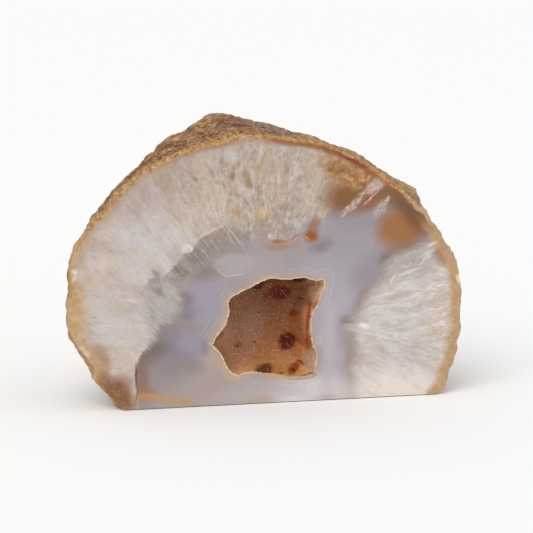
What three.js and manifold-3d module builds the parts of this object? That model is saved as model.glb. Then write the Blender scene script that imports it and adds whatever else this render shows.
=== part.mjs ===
// Half of an agate nodule, sawn flat in front and underneath so that it stands with its polished face
// upright, and the crust of fine quartz crystals that lines the hollow in that face.
// Millimetres, +Z up, +X to the right of someone who looks at the polished face, which points along -Y.
// The origin lies on the sawn base, 20 mm behind the face.

import * as THREE from "three";
import { ImprovedNoise } from "three/addons/math/ImprovedNoise.js";
import { mergeVertices } from "three/addons/utils/BufferGeometryUtils.js";
import Module from "manifold-3d";

// Driving dimensions
const FACE_Y = -20; // plane of the polished face
const DEPTH = 48; // from the polished face to the back of the nodule
const HEART = [0, 30]; // x and z that the sections of the nodule shrink towards
const BACK_SHIFT = [3, -2]; // how far the back of the nodule lies from the heart
const AROUND = 116; // corners of one section of the nodule
const RINGS = 28; // sections from the face to the back
const CALM = 5; // corners to each side over which a section behind the face is evened out
const CALM_DEPTH = 18; // depth behind the face where it is evened out in full

const HOLLOW_HEART = [0, 20.5]; // x and z that the sections of the hollow shrink towards
const HOLLOW_DEPTH = 14.5; // from the polished face to the hollow's back wall
const HOLLOW_AROUND = 52;
const HOLLOW_RINGS = 11;
const CRUST = 0.9; // thickness of the crystal crust
const CRUST_GAP = 0.3; // clearance between the crust and the wall it grew on
const CRYSTAL = 0.45; // how far the larger crystals stand up from the crust
const CRYSTAL_SPACING = 2.3;

// Edge of the polished face, x and z, from the right end of the base over the top to the left end, and
// then below the base, where the nodule was sawn away.
const FACE_OUTLINE = [
  [48.6, 0], [50.6, 2.4], [51.8, 6.5], [52.6, 9.4], [54, 12.4], [53.8, 15], [54.9, 18], [55.2, 23],
  [54.7, 26.2], [55.1, 29.5], [54.5, 34], [52.6, 38.8], [50.2, 42.4], [47.9, 46], [45, 49.9],
  [40, 55], [35.6, 58.8], [31.2, 62], [26, 65.2], [20, 68.3], [14, 70.4], [7, 71.9], [0, 72.7],
  [-6, 73], [-12, 72.2], [-18, 71], [-24, 68.9], [-30, 66.4], [-35.5, 63.2], [-41, 58.6], [-46, 53.8],
  [-49.3, 49], [-51.5, 45.2], [-52, 41.8], [-53.3, 39.6], [-53.6, 36.5], [-53.3, 33.6], [-54.3, 30.4],
  [-54, 25.6], [-53.5, 20.6], [-51.6, 17.2], [-48.6, 13.4], [-48, 10.4], [-46.4, 7.4], [-43.6, 4.6],
  [-40.6, 1.2], [-36, -4], [-24, -13], [-6, -19], [14, -20], [32, -15], [43, -7],
];

// Edge of the open hollow on the polished face, x and z, round the same way.
const HOLLOW_OUTLINE = [
  [12.3, 20.5], [12.8, 24.5], [14.4, 26.6], [15.3, 29.5], [16.4, 33], [13.4, 33], [10.2, 34],
  [6, 33.6], [2, 34.1], [-0.5, 33.8], [-4, 32.1], [-6.6, 31], [-10.7, 28.6], [-10.5, 25.5],
  [-11.6, 21.8], [-13.4, 19.6], [-15.2, 16.2], [-13, 14.4], [-11.8, 11.8], [-10.8, 9.7], [-9, 8],
  [-5, 8.7], [-1, 8.1], [3.2, 7.7], [7, 6.6], [13.6, 7.5], [13.4, 9.6], [14.1, 12.3], [12.8, 15.5],
];

// How wide a section is against the face, at shares of the depth
const NODULE_PROFILE = [
  [0, 1], [0.08, 0.996], [0.2, 0.974], [0.36, 0.925], [0.54, 0.845], [0.7, 0.735], [0.84, 0.57],
  [0.94, 0.36], [0.985, 0.17], [1, 0],
];
const HOLLOW_PROFILE = [
  [0, 1], [0.35, 0.98], [0.68, 0.94], [0.86, 0.87], [0.955, 0.73], [0.99, 0.5], [1, 0.24], [1, 0],
];

// Swellings of the outside: the direction from the heart and its spread in degrees, the depth behind the
// face and its spread, and the height.
const SWELLINGS = [
  { at: 100, spread: 20, depth: 20, reach: 13, rise: 8.8 }, // the crest on top
  { at: 105, spread: 5, depth: 16, reach: 9, rise: 1.2 }, // its peak
  { at: 72, spread: 15, depth: 12, reach: 9, rise: 4.4 }, // its right shoulder
  { at: 71, spread: 5, depth: 14, reach: 8, rise: -1.4 }, // the dip in that shoulder
  { at: 56, spread: 4.5, depth: 10, reach: 7, rise: 1.6 }, // the fold below the dip
  { at: 46, spread: 12, depth: 7, reach: 7, rise: 2 }, // the slope behind the knob
  { at: 45, spread: 4, depth: 9, reach: 6, rise: -1.3 }, // the hollow in that slope
  { at: 37, spread: 3, depth: 7, reach: 5, rise: 1.6 }, // the rise above the knob
  { at: 32, spread: 4.5, depth: 7, reach: 4.5, rise: 3.6 }, // the knob at the upper right
  { at: 23, spread: 4, depth: 6, reach: 5, rise: 1.1 }, // the foot of the knob
  { at: 122, spread: 8, depth: 14, reach: 11, rise: 5.6 }, // the left shoulder
  { at: 130, spread: 4, depth: 10, reach: 7, rise: 2 }, // the straight flank below it
  { at: 138, spread: 8, depth: 9, reach: 8, rise: -0.9 }, // the flatter flank further down
  { at: 8, spread: 20, depth: 24, reach: 12, rise: 1.8 }, // the right cheek
  { at: 200, spread: 14, depth: 9, reach: 7, rise: 1.8 }, // the lower left cheek
];

// Roughness of the outside: the length and the width of each kind of lump, and how far it rises or falls.
// The folds are narrow from front to back, so they run round the nodule beside the face.
const LUMPS = [
  { long: 27, across: 27, rise: 2.6 },
  { long: 12, across: 12, rise: 1.9 },
  { long: 15, across: 5.5, rise: 1.1 },
  { long: 6, across: 6, rise: 1 },
];

const wasm = await Module();
wasm.setup();
const perlin = new ImprovedNoise();

const smooth = (edge, x) => THREE.MathUtils.smoothstep(x, 0, edge);
const hill = (x, spread) => Math.exp(-((x / spread) ** 2));
const { lerp, euclideanModulo } = THREE.MathUtils;

// Points evenly spaced along a closed curve through an outline, as direction and distance from a centre
function spokes(outline, centre, count) {
  const curve = new THREE.CatmullRomCurve3(
    outline.map(([x, z]) => new THREE.Vector3(x, 0, z)), true, "centripetal");
  return curve.getSpacedPoints(count).slice(0, count).map((p) => {
    const [dx, dz] = [p.x - centre[0], p.z - centre[1]];
    const reach = Math.hypot(dx, dz);
    return { x: dx / reach, z: dz / reach, reach, degrees: THREE.MathUtils.radToDeg(Math.atan2(dz, dx)) };
  });
}

// Shares of depth and width at points evenly spaced along a profile
function stations(profile, depth, width, rings) {
  const curve = new THREE.SplineCurve(profile.map(([d, w]) => new THREE.Vector2(d * depth, w * width)));
  return curve.getSpacedPoints(rings).map((p) => ({ deep: p.x / depth, wide: p.y / width }));
}

// Geometry from a list of corners and a list of triangles
function facets(corners, triangles) {
  const geometry = new THREE.BufferGeometry();
  geometry.setAttribute("position", new THREE.Float32BufferAttribute(corners.flat(), 3));
  return geometry.setIndex(triangles.flat());
}

// Triangles between ring a and ring b, lists of corner numbers of one length
const band = (a, b) => a.flatMap((_, i) => {
  const j = (i + 1) % a.length;
  return [[a[i], b[i], b[j]], [a[i], b[j], a[j]]];
});

// Triangles from ring a to one corner
const fan = (a, tip) => a.map((_, i) => [a[i], tip, a[(i + 1) % a.length]]);

const flip = (triangles) => triangles.map(([a, b, c]) => [a, c, b]);

// Corner numbers of ring r in a list of rings that have count corners each
const ring = (r, count) => Array.from({ length: count }, (_, i) => r * count + i);

// Triangles of a bowl that opens towards -Y: its rings from the mouth back, closed at the corner tip
const bowl = (rings, count, tip) => [
  ...Array.from({ length: rings - 1 }, (_, r) => band(ring(r, count), ring(r + 1, count))).flat(),
  ...fan(ring(rings - 1, count), tip),
];

function solid(geometry) {
  const merged = mergeVertices(geometry, 1e-4);
  return new wasm.Manifold(new wasm.Mesh({
    numProp: 3,
    vertProperties: merged.attributes.position.array,
    triVerts: new Uint32Array(merged.index.array),
  }));
}

function geometryOf(manifold) {
  const { vertProperties, triVerts } = manifold.getMesh();
  const geometry = new THREE.BufferGeometry();
  geometry.setAttribute("position", new THREE.BufferAttribute(vertProperties, 3));
  return geometry.setIndex(new THREE.BufferAttribute(triVerts, 1));
}

// How far the outside stands out at a depth behind the face, in one direction from the heart
function swelling(depth, degrees) {
  return SWELLINGS.reduce((sum, s) => {
    const turn = euclideanModulo(degrees - s.at + 180, 360) - 180;
    const reach = hill(depth - s.depth, s.reach) - hill(s.depth, s.reach);
    return sum + s.rise * hill(turn, s.spread) * Math.max(0, reach);
  }, 0);
}

const roughness = (x, y, z) => LUMPS.reduce((sum, { long, across, rise }) =>
  sum + rise * perlin.noise(x / long, y / across, z / long), 0);

// The reach of each spoke averaged over its neighbours on both sides
const calmed = (rim) => rim.map((_, i) => {
  const near = Array.from({ length: 2 * CALM + 1 }, (_, k) => rim[euclideanModulo(i + k - CALM, rim.length)]);
  return near.reduce((sum, spoke) => sum + spoke.reach, 0) / near.length;
});

// The whole nodule behind the face, before the base is sawn
function nodule() {
  const rim = spokes(FACE_OUTLINE, HEART, AROUND);
  const calm = calmed(rim);
  const corners = [];
  for (const { deep, wide } of stations(NODULE_PROFILE, DEPTH, 50, RINGS).slice(0, -1)) {
    const depth = deep * DEPTH;
    const [cx, cz] = HEART.map((c, k) => c + BACK_SHIFT[k] * smooth(1, deep));
    for (const [i, spoke] of rim.entries()) {
      const reach = lerp(spoke.reach, calm[i], smooth(CALM_DEPTH, depth));
      const out = reach * wide + swelling(depth, spoke.degrees);
      const [x, z] = [cx + spoke.x * out, cz + spoke.z * out];
      const lump = roughness(x, depth, z) * smooth(7, depth);
      const away = new THREE.Vector3(spoke.x * wide, deep * deep, spoke.z * wide).setLength(lump);
      corners.push([x + away.x, FACE_Y + depth + away.y, z + away.z]);
    }
  }
  const front = corners.push([HEART[0], FACE_Y, HEART[1]]) - 1;
  const back = corners.push([HEART[0] + BACK_SHIFT[0], FACE_Y + DEPTH, HEART[1] + BACK_SHIFT[1]]) - 1;
  return facets(corners, [...flip(fan(ring(0, AROUND), front)), ...bowl(RINGS, AROUND, back)]);
}

// Corners of a lining of the hollow that lies outside the open space by grow
function hollowCorners(grow, crystal = () => 0) {
  const rim = spokes(HOLLOW_OUTLINE, HOLLOW_HEART, HOLLOW_AROUND);
  const at = (spoke, deep, wide, stand) => [
    HOLLOW_HEART[0] + spoke.x * wide * (spoke.reach + stand),
    FACE_Y + deep * (HOLLOW_DEPTH + stand),
    HOLLOW_HEART[1] + spoke.z * wide * (spoke.reach + stand),
  ];
  const corners = stations(HOLLOW_PROFILE, HOLLOW_DEPTH, 14, HOLLOW_RINGS).slice(0, -1).flatMap(
    ({ deep, wide }) => rim.map((spoke) => {
      const height = deep ? smooth(0.8, wide) * crystal(...at(spoke, deep, wide, grow)) : 0;
      return at(spoke, deep, wide, grow - height);
    }));
  corners.push([HOLLOW_HEART[0], FACE_Y + HOLLOW_DEPTH + grow, HOLLOW_HEART[1]]);
  return corners;
}

const hollowSkin = () => bowl(HOLLOW_RINGS, HOLLOW_AROUND, HOLLOW_RINGS * HOLLOW_AROUND);

// The space that the crust and the open hollow take out of the stone, let through the face
function pocket() {
  const corners = hollowCorners(CRUST + CRUST_GAP);
  const mouth = ring(0, HOLLOW_AROUND).map((i) => corners.push([corners[i][0], FACE_Y - 2, corners[i][2]]) - 1);
  const plug = corners.push([HOLLOW_HEART[0], FACE_Y - 2, HOLLOW_HEART[1]]) - 1;
  return facets(corners, [
    ...hollowSkin(), ...band(mouth, ring(0, HOLLOW_AROUND)), ...flip(fan(mouth, plug)),
  ]);
}

// The crust: its back follows the hollow's wall, its front is set with crystals, and it ends at the face
function crust() {
  const crystal = (...at) => 2 * CRYSTAL * Math.abs(perlin.noise(...at.map((x) => x / CRYSTAL_SPACING)));
  const wall = hollowCorners(CRUST);
  const front = hollowCorners(0, crystal);
  const toFront = (corner) => corner + wall.length;
  const edge = ring(0, HOLLOW_AROUND);
  return facets([...wall, ...front], [
    ...hollowSkin(),
    ...flip(hollowSkin()).map((triangle) => triangle.map(toFront)),
    ...band(edge.map(toFront), edge),
  ]);
}

// Everything below the base's plane
function sawnAway() {
  const geometry = new THREE.BoxGeometry(4 * DEPTH, 4 * DEPTH, DEPTH).translate(0, 0, -DEPTH / 2);
  return geometry.deleteAttribute("normal").deleteAttribute("uv");
}

const agate = new THREE.Mesh(
  geometryOf(solid(nodule()).subtract(solid(sawnAway())).subtract(solid(pocket()))),
  new THREE.MeshStandardMaterial({ color: 0xbfb1a8, roughness: 0.35, metalness: 0 }),
);
agate.name = "agate_half";

const druse = new THREE.Mesh(
  crust(),
  new THREE.MeshStandardMaterial({ color: 0x8c6040, roughness: 0.5, metalness: 0 }),
);
druse.name = "druse_crust";

const part = new THREE.Group();
part.add(agate, druse);
export default part;
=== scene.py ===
"""Half of an agate nodule on a plain pale floor: a rough rind, a polished face of white fibrous quartz and
mauve-grey chalcedony, a sawn base, and a small hollow lined with fine stained quartz crystals.
Metres, +Z up. The polished face looks along -Y."""

import math

import bpy
import numpy as np
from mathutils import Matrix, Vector
from mathutils.kdtree import KDTree


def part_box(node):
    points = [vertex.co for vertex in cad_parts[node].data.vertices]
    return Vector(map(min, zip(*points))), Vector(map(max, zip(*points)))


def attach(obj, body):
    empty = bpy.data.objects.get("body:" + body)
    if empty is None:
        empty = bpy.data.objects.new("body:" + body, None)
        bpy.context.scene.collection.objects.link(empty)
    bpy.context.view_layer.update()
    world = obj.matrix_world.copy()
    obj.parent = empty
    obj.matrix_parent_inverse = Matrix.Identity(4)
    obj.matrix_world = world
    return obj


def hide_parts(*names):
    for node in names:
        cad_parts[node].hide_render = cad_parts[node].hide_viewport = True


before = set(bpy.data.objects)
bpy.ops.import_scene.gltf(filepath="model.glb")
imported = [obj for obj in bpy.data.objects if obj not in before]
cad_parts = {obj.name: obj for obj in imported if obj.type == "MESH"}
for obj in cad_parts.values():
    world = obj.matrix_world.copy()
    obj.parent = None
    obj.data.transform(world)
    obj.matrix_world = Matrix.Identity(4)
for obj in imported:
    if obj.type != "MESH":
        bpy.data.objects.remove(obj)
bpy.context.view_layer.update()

# The stone: half of a nodule that grew as one piece, so its rind, quartz and chalcedony are one mesh. The
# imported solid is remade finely, with its hollow filled and its flat sides carried on past the saw cuts. It
# gets the lumps, folds and pits of a rind, is hollowed out, and is sawn in front and underneath.
MM = 0.001
stone_low, stone_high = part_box("agate_half")
hollow_low, hollow_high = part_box("druse_crust")
FACE_Y = stone_low.y
FACE_MM = FACE_Y / MM
OVERRUN = 3 * MM  # how far the blank and the plug in its hollow go past a saw cut
RIND_GRAIN = 0.58 * MM  # the size of the faces that the rind is made of
CUT_GRAIN = 0.8 * MM  # the same on the polished face
BASE_GRAIN = 1.2 * MM  # and on the sawn base
ON_CUT = 0.01 * MM  # how near to a cut a face's centre lies when it belongs to it
FACING = 0.9  # how squarely such a face looks out of the cut
ON_PACKED_CUT, PACKED_FACING = 0.1 * MM, 0.99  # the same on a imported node
HOLLOW_MARGIN = 1.5 * MM  # how far outside the crust's box the faces of the hollow are looked for


def alone(piece):
    """Selects one piece and nothing else."""
    bpy.ops.object.select_all(action="DESELECT")
    bpy.context.view_layer.objects.active = piece
    piece.select_set(True)


def fresh_copy(node, name):
    """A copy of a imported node, merged into one surface."""
    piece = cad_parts[node].copy()
    piece.data = piece.data.copy()
    piece.name = name
    piece.parent = None
    for key in list(piece.keys()):
        del piece[key]
    bpy.context.scene.collection.objects.link(piece)
    alone(piece)
    bpy.ops.object.mode_set(mode="EDIT")
    bpy.ops.mesh.select_all(action="SELECT")
    bpy.ops.mesh.remove_doubles(threshold=0.001 * MM)
    bpy.ops.object.mode_set(mode="OBJECT")
    return piece


def edit_faces(piece, wanted):
    """Goes into edit mode with just the faces selected whose centre and normal pass the test."""
    alone(piece)
    bpy.ops.object.mode_set(mode="EDIT")
    bpy.ops.mesh.select_mode(type="FACE")
    bpy.ops.mesh.select_all(action="DESELECT")
    bpy.ops.object.mode_set(mode="OBJECT")
    for face in piece.data.polygons:
        face.select = wanted(face.center, face.normal)
    bpy.ops.object.mode_set(mode="EDIT")


def edit_open_edges(piece):
    """Goes into edit mode with just the edges of a hole selected."""
    alone(piece)
    bpy.ops.object.mode_set(mode="EDIT")
    bpy.ops.mesh.select_mode(type="EDGE")
    bpy.ops.mesh.select_all(action="DESELECT")
    bpy.ops.mesh.select_non_manifold()


def finish_modifier(piece, kind, **settings):
    """Adds one modifier and applies it."""
    alone(piece)
    modifier = piece.modifiers.new(kind.lower(), kind)
    for key, value in settings.items():
        setattr(modifier, key, value)
    bpy.ops.object.modifier_apply(modifier=modifier.name)


def corners_of(mesh):
    """The places of a mesh's corners in millimetres."""
    places = np.empty(len(mesh.vertices) * 3)
    mesh.vertices.foreach_get("co", places)
    return places.reshape(-1, 3) / MM


def mark(piece, name, shares):
    """Gives each corner of a piece a share from 0 to 1 in a new vertex group."""
    group = piece.vertex_groups.new(name=name)
    for corner, share in enumerate(np.clip(shares, 0, 1).tolist()):
        group.add([corner], share, "REPLACE")


def roughen(piece, kind, size, height, middle=0.5, where="", **settings):
    """Moves a surface in and out by the given height, in a pattern that repeats at about the given size
    along x, y and z, all in millimetres."""
    pattern = bpy.data.textures.new(kind.lower(), kind)
    pattern.noise_scale = 1
    for key, value in settings.items():
        setattr(pattern, key, value)
    bpy.ops.object.empty_add()
    ruler = bpy.context.object
    ruler.scale = [side * MM for side in size]
    bpy.context.view_layer.update()
    finish_modifier(
        piece, "DISPLACE", texture=pattern, strength=height * MM, mid_level=middle, vertex_group=where,
        texture_coords="OBJECT", texture_coords_object=ruler,
    )
    bpy.data.objects.remove(ruler)
    bpy.data.textures.remove(pattern)


def saw(piece, middle, turn, size, away, grain=CUT_GRAIN):
    """Saws a piece off along a plane, and leaves the cut with an even grid of faces."""
    bpy.ops.object.select_all(action="DESELECT")
    columns, rows = (round(side / grain) for side in size)
    bpy.ops.mesh.primitive_grid_add(
        x_subdivisions=columns, y_subdivisions=rows, size=1, location=middle, rotation=turn
    )
    blade = bpy.context.object
    blade.scale = (*size, 1)
    bpy.ops.object.transform_apply(location=True, rotation=True, scale=True)
    bpy.ops.object.mode_set(mode="EDIT")
    bpy.ops.mesh.select_all(action="SELECT")
    bpy.ops.mesh.extrude_region_move(TRANSFORM_OT_translate={"value": away})
    bpy.ops.mesh.select_all(action="SELECT")
    bpy.ops.mesh.normals_make_consistent(inside=False)
    bpy.ops.object.mode_set(mode="OBJECT")
    finish_modifier(piece, "BOOLEAN", operation="DIFFERENCE", solver="MANIFOLD", object=blade)
    bpy.data.objects.remove(blade)


def saw_front(piece, low, high):
    """Saws a piece off at the polished face."""
    middle = ((low.x + high.x) / 2, FACE_Y, (low.z + high.z) / 2)
    size = (high.x - low.x + 2 * OVERRUN, high.z - low.z + 4 * OVERRUN)
    saw(piece, middle, (math.pi / 2, 0, 0), size, (0, -3 * OVERRUN, 0))


def on_face(centre, normal):
    return normal.y < -PACKED_FACING and centre.y < FACE_Y + ON_PACKED_CUT


def on_base(centre, normal):
    return normal.z < -PACKED_FACING and centre.z < ON_PACKED_CUT


def in_hollow(centre, normal):
    corner_pairs = zip(hollow_low, centre, hollow_high)
    inside = all(low - HOLLOW_MARGIN < at < high + HOLLOW_MARGIN for low, at, high in corner_pairs)
    return inside and not on_face(centre, normal)


def crust_wall(name, outer):
    """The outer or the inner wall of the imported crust, closed and carried on past the saw cut."""
    wall = fresh_copy("druse_crust", name)
    edit_faces(wall, on_face)
    bpy.ops.mesh.delete(type="FACE")
    bpy.ops.mesh.select_all(action="SELECT")
    bpy.ops.mesh.separate(type="LOOSE")
    bpy.ops.object.mode_set(mode="OBJECT")
    small, large = sorted(bpy.context.selected_objects, key=lambda part: part.dimensions.x)
    kept, spare = (large, small) if outer else (small, large)
    bpy.data.objects.remove(spare)
    edit_open_edges(kept)
    bpy.ops.mesh.extrude_edges_move(TRANSFORM_OT_translate={"value": (0, -OVERRUN, 0)})
    bpy.ops.mesh.edge_face_add()
    bpy.ops.mesh.select_all(action="SELECT")
    bpy.ops.mesh.normals_make_consistent(inside=False)
    bpy.ops.object.mode_set(mode="OBJECT")
    kept.name = name
    return kept


stone = fresh_copy("agate_half", "agate_stone")
edit_faces(stone, in_hollow)
bpy.ops.mesh.delete(type="FACE")
bpy.ops.object.mode_set(mode="OBJECT")
edit_open_edges(stone)
bpy.ops.mesh.edge_face_add()
bpy.ops.object.mode_set(mode="OBJECT")
for side, way in ((on_face, (0, -OVERRUN, 0)), (on_base, (0, 0, -OVERRUN))):
    edit_faces(stone, side)
    bpy.ops.mesh.extrude_region_move(TRANSFORM_OT_translate={"value": way})
    bpy.ops.object.mode_set(mode="OBJECT")
finish_modifier(stone, "REMESH", mode="VOXEL", voxel_size=RIND_GRAIN)
finish_modifier(stone, "SMOOTH", factor=0.5, iterations=10)

# Bulges and dents beside the polished face: x, z, reach and height in millimetres. They fade out behind it.
SCALLOPS = [
    (-48.5, 6.8, 3, 0.8), (-49.7, 11, 3, -1), (-54.6, 21, 6, 0.6), (-54.7, 31, 3, -0.7),
    (-52.3, 43.5, 5, 0.9), (-44.8, 56, 4.5, -0.9), (45.5, 51.5, 3, 0.7),
]
SCALLOP_RUN = 16
SCALLOPED_TO = FACE_MM + SCALLOP_RUN
corners = corners_of(stone.data)
behind = np.clip(SCALLOPED_TO - corners[:, 1], 0, SCALLOP_RUN) / SCALLOP_RUN
rise = sum(
    height * behind * np.clip(1 - ((corners[:, 0] - x) ** 2 + (corners[:, 2] - z) ** 2) / reach ** 2, 0, 1)
    for x, z, reach, height in SCALLOPS
)
for name, way in (("bulges", 1), ("dents", -1)):
    mark(stone, name, way * rise)
    finish_modifier(stone, "DISPLACE", strength=way * MM, mid_level=0, vertex_group=name)

# The back is weathered more deeply than the part beside the polished face, and the flanks are knobbly. Each
# comes on from a given depth or height, over a given run, in millimetres.
WEATHERED_FROM, WEATHERED_RUN = 12, 18
KNOBBLY_BELOW, KNOBBLY_RUN = 52, 8
mark(stone, "weathered", (corners[:, 1] - FACE_MM - WEATHERED_FROM) / WEATHERED_RUN)
mark(stone, "flanks", (KNOBBLY_BELOW - corners[:, 2]) / KNOBBLY_RUN)
roughen(stone, "CLOUDS", (4.5, 8, 4.5), 1.1, where="flanks", noise_depth=1)
roughen(stone, "CLOUDS", (9, 7, 9), 1.2, where="weathered", noise_depth=1)
roughen(stone, "VORONOI", (5, 3.2, 5), -0.5, middle=0.45, where="weathered")
roughen(stone, "VORONOI", (4.5, 2.6, 4.5), -0.45, middle=0.45)
roughen(stone, "CLOUDS", (4.5, 1.5, 4.5), 0.75, noise_depth=2)
roughen(stone, "VORONOI", (2, 1.2, 2), -0.5, middle=0.45)
finish_modifier(stone, "SMOOTH", factor=0.5, iterations=1)
roughen(stone, "CLOUDS", (1.3, 0.8, 1.3), 0.45, noise_depth=2)

plug = crust_wall("plug", outer=True)
finish_modifier(plug, "SUBSURF", subdivision_type="SIMPLE", levels=2, render_levels=2)
finish_modifier(plug, "SMOOTH", factor=0.5, iterations=2)
finish_modifier(stone, "BOOLEAN", operation="DIFFERENCE", solver="MANIFOLD", object=plug)
saw_front(stone, stone_low, stone_high)
base_middle = ((stone_low.x + stone_high.x) / 2, (stone_low.y + stone_high.y) / 2, 0)
base_size = (stone_high.x - stone_low.x + 2 * OVERRUN, stone_high.y - stone_low.y + 2 * OVERRUN)
saw(stone, base_middle, (0, 0, 0), base_size, (0, 0, -3 * OVERRUN), grain=BASE_GRAIN)

# Measures on the stone's surface, in millimetres, that its materials read: how far a spot of a cut lies
# from the rind and from the hollow, how far inside the quartz it lies, and how far it stands proud.
RIND, POLISHED, SAWN, POCKET = range(4)  # the kinds of surface on the stone

# Edges of the quartz on the polished face, x and z. The ends lie outside the stone.
QUARTZ_LEFT = [
    (-35.2, -4), (-35.5, 2), (-36, 5), (-36.3, 8.5), (-36.2, 11.5), (-35, 14.5), (-33.2, 16.5), (-31.5, 19),
    (-31.2, 21), (-32.8, 24), (-33, 27), (-33.8, 30), (-35.3, 31.9), (-34.2, 33.5), (-32.9, 33.7),
    (-32.6, 35), (-31.2, 35.4), (-30.5, 36.5), (-29.8, 35.4), (-28.5, 35.4), (-27.3, 36.7), (-26.1, 37.7),
    (-24.8, 39.3), (-23.2, 41), (-22.9, 42.1), (-22, 41.8), (-21, 42.2), (-19.9, 43.5), (-19.2, 45),
    (-17.8, 46.2), (-15.5, 47), (-13.1, 48.5), (-10.5, 48.9), (-8, 47.5), (-5.5, 46.8), (-3, 45.8),
    (0, 45.2), (1.5, 44.3), (4, 44.2), (6.5, 44.8), (8.5, 45.8), (10, 48), (13, 49), (15, 48.5), (17, 51),
    (19, 54), (20.5, 56.5), (22, 58.6), (25, 59.5), (28, 62), (30, 80), (-70, 90), (-70, -10),
]
QUARTZ_RIGHT = [
    (24, -5), (24.4, 2), (24.4, 6), (23.6, 9), (25.6, 12), (24.4, 16), (24.4, 18), (22, 20), (25, 22.2),
    (27.2, 26), (29.6, 30), (32.8, 33), (33.8, 36), (36, 38.6), (41, 40.8), (45, 42.8), (47, 43.8),
    (50, 45.5), (62, 50), (62, -5),
]
# The greyer crystals between the quartz on the left and the chalcedony
GREY_QUARTZ = [
    (-33, 16), (-31, 19), (-29, 21), (-27, 23.5), (-24.5, 26), (-23, 29), (-24, 32), (-23.5, 34),
    (-21.5, 35.5), (-19, 37.5), (-16, 38.5), (-14, 40), (-12, 42), (-8, 43.5), (-4, 44.5), (1, 44.5),
    (6, 44), (8, 50), (0, 54), (-20, 54), (-42, 36), (-40, 18),
]
# Edges of the chalcedony on the sawn base, x and y. The first and last points meet the polished face.
CHALCEDONY_BELOW = [
    (-35.5, -24), (-35.5, -20), (-34, -14), (-27, -5), (-14, 1), (0, 2), (13, -3), (20, -11), (23.3, -20),
    (23.5, -24),
]
WELL_OUTSIDE = -20  # the measure of a spot that is nowhere near the quartz
STONE_ROUNDS = 24  # how often the stone's surface is evened out to find what stands proud of it


def inside_by(spots, outline):
    """How far each of a list of plane spots lies inside a closed outline, or below zero outside it."""
    starts = np.array(outline, float)
    ends = np.roll(starts, -1, axis=0)
    nearest = np.full(len(spots), np.inf)
    inside = np.zeros(len(spots), bool)
    for start, end in zip(starts, ends):
        run = end - start
        along = np.clip((spots - start) @ run / (run @ run), 0, 1)
        nearest = np.minimum(nearest, np.linalg.norm(spots - start - along[:, None] * run, axis=1))
        level = (start[1] > spots[:, 1]) != (end[1] > spots[:, 1])
        if level.any():
            crossing = start[0] + (spots[level, 1] - start[1]) / run[1] * run[0]
            inside[level] ^= spots[level, 0] < crossing
    return np.where(inside, nearest, -nearest)


def distance_from(spots, landmarks):
    """How far each spot lies from the nearest landmark."""
    tree = KDTree(len(landmarks))
    for number, landmark in enumerate(landmarks):
        tree.insert(landmark, number)
    tree.balance()
    return np.array([tree.find(spot)[2] for spot in spots])


def standing_proud(mesh, rounds):
    """How far each corner stands out from the surface that the mesh would have if it were evened out."""
    corners = corners_of(mesh)
    edges = np.empty(len(mesh.edges) * 2, int)
    mesh.edges.foreach_get("vertices", edges)
    edges = edges.reshape(-1, 2)
    neighbours = np.bincount(edges.ravel(), minlength=len(corners))[:, None]
    calm = corners.copy()
    for _ in range(rounds):
        total = np.zeros_like(calm)
        for axis in range(3):
            total[:, axis] += np.bincount(edges[:, 0], calm[edges[:, 1], axis], len(corners))
            total[:, axis] += np.bincount(edges[:, 1], calm[edges[:, 0], axis], len(corners))
        calm = total / np.maximum(neighbours, 1)
    normals = np.empty(len(corners) * 3)
    mesh.vertices.foreach_get("normal", normals)
    return np.einsum("ij,ij->i", corners - calm, normals.reshape(-1, 3))


def keep_measure(mesh, name, values):
    """Gives each corner of a mesh a number that its materials can read."""
    mesh.attributes.new(name, "FLOAT", "POINT").data.foreach_set("value", values.astype(np.float32))


def is_polished(face):
    return abs(face.center.y - FACE_Y) < ON_CUT and face.normal.y < -FACING


def face_kinds(mesh):
    """Which kind of surface each face is."""
    kinds = np.full(len(mesh.polygons), RIND)
    for face in mesh.polygons:
        if is_polished(face):
            kinds[face.index] = POLISHED
        elif abs(face.center.z) < ON_CUT and face.normal.z < -FACING:
            kinds[face.index] = SAWN
        elif in_hollow(face.center, face.normal):
            kinds[face.index] = POCKET
    return kinds


def where_meet(mesh, kinds, *wanted):
    """The corners at which all the wanted kinds of surface meet."""
    loops = np.empty(len(mesh.loops), int)
    mesh.loops.foreach_get("vertex_index", loops)
    sizes = np.empty(len(mesh.polygons), int)
    mesh.polygons.foreach_get("loop_total", sizes)
    meeting = np.zeros(len(mesh.vertices), int)
    np.bitwise_or.at(meeting, loops, np.repeat(1 << kinds, sizes))
    return np.all([meeting & (1 << kind) > 0 for kind in wanted], axis=0)


def crease_between(mesh, kinds):
    """Shades a mesh smooth, but for the edges where two kinds of surface meet."""
    mesh.shade_smooth()
    touching = {}
    for face in mesh.polygons:
        for edge in face.edge_keys:
            touching.setdefault(edge, set()).add(int(kinds[face.index]))
    sharp = [len(touching.get(edge.key, ())) > 1 for edge in mesh.edges]
    mesh.attributes.new("sharp_edge", "BOOLEAN", "EDGE").data.foreach_set("value", sharp)


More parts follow.
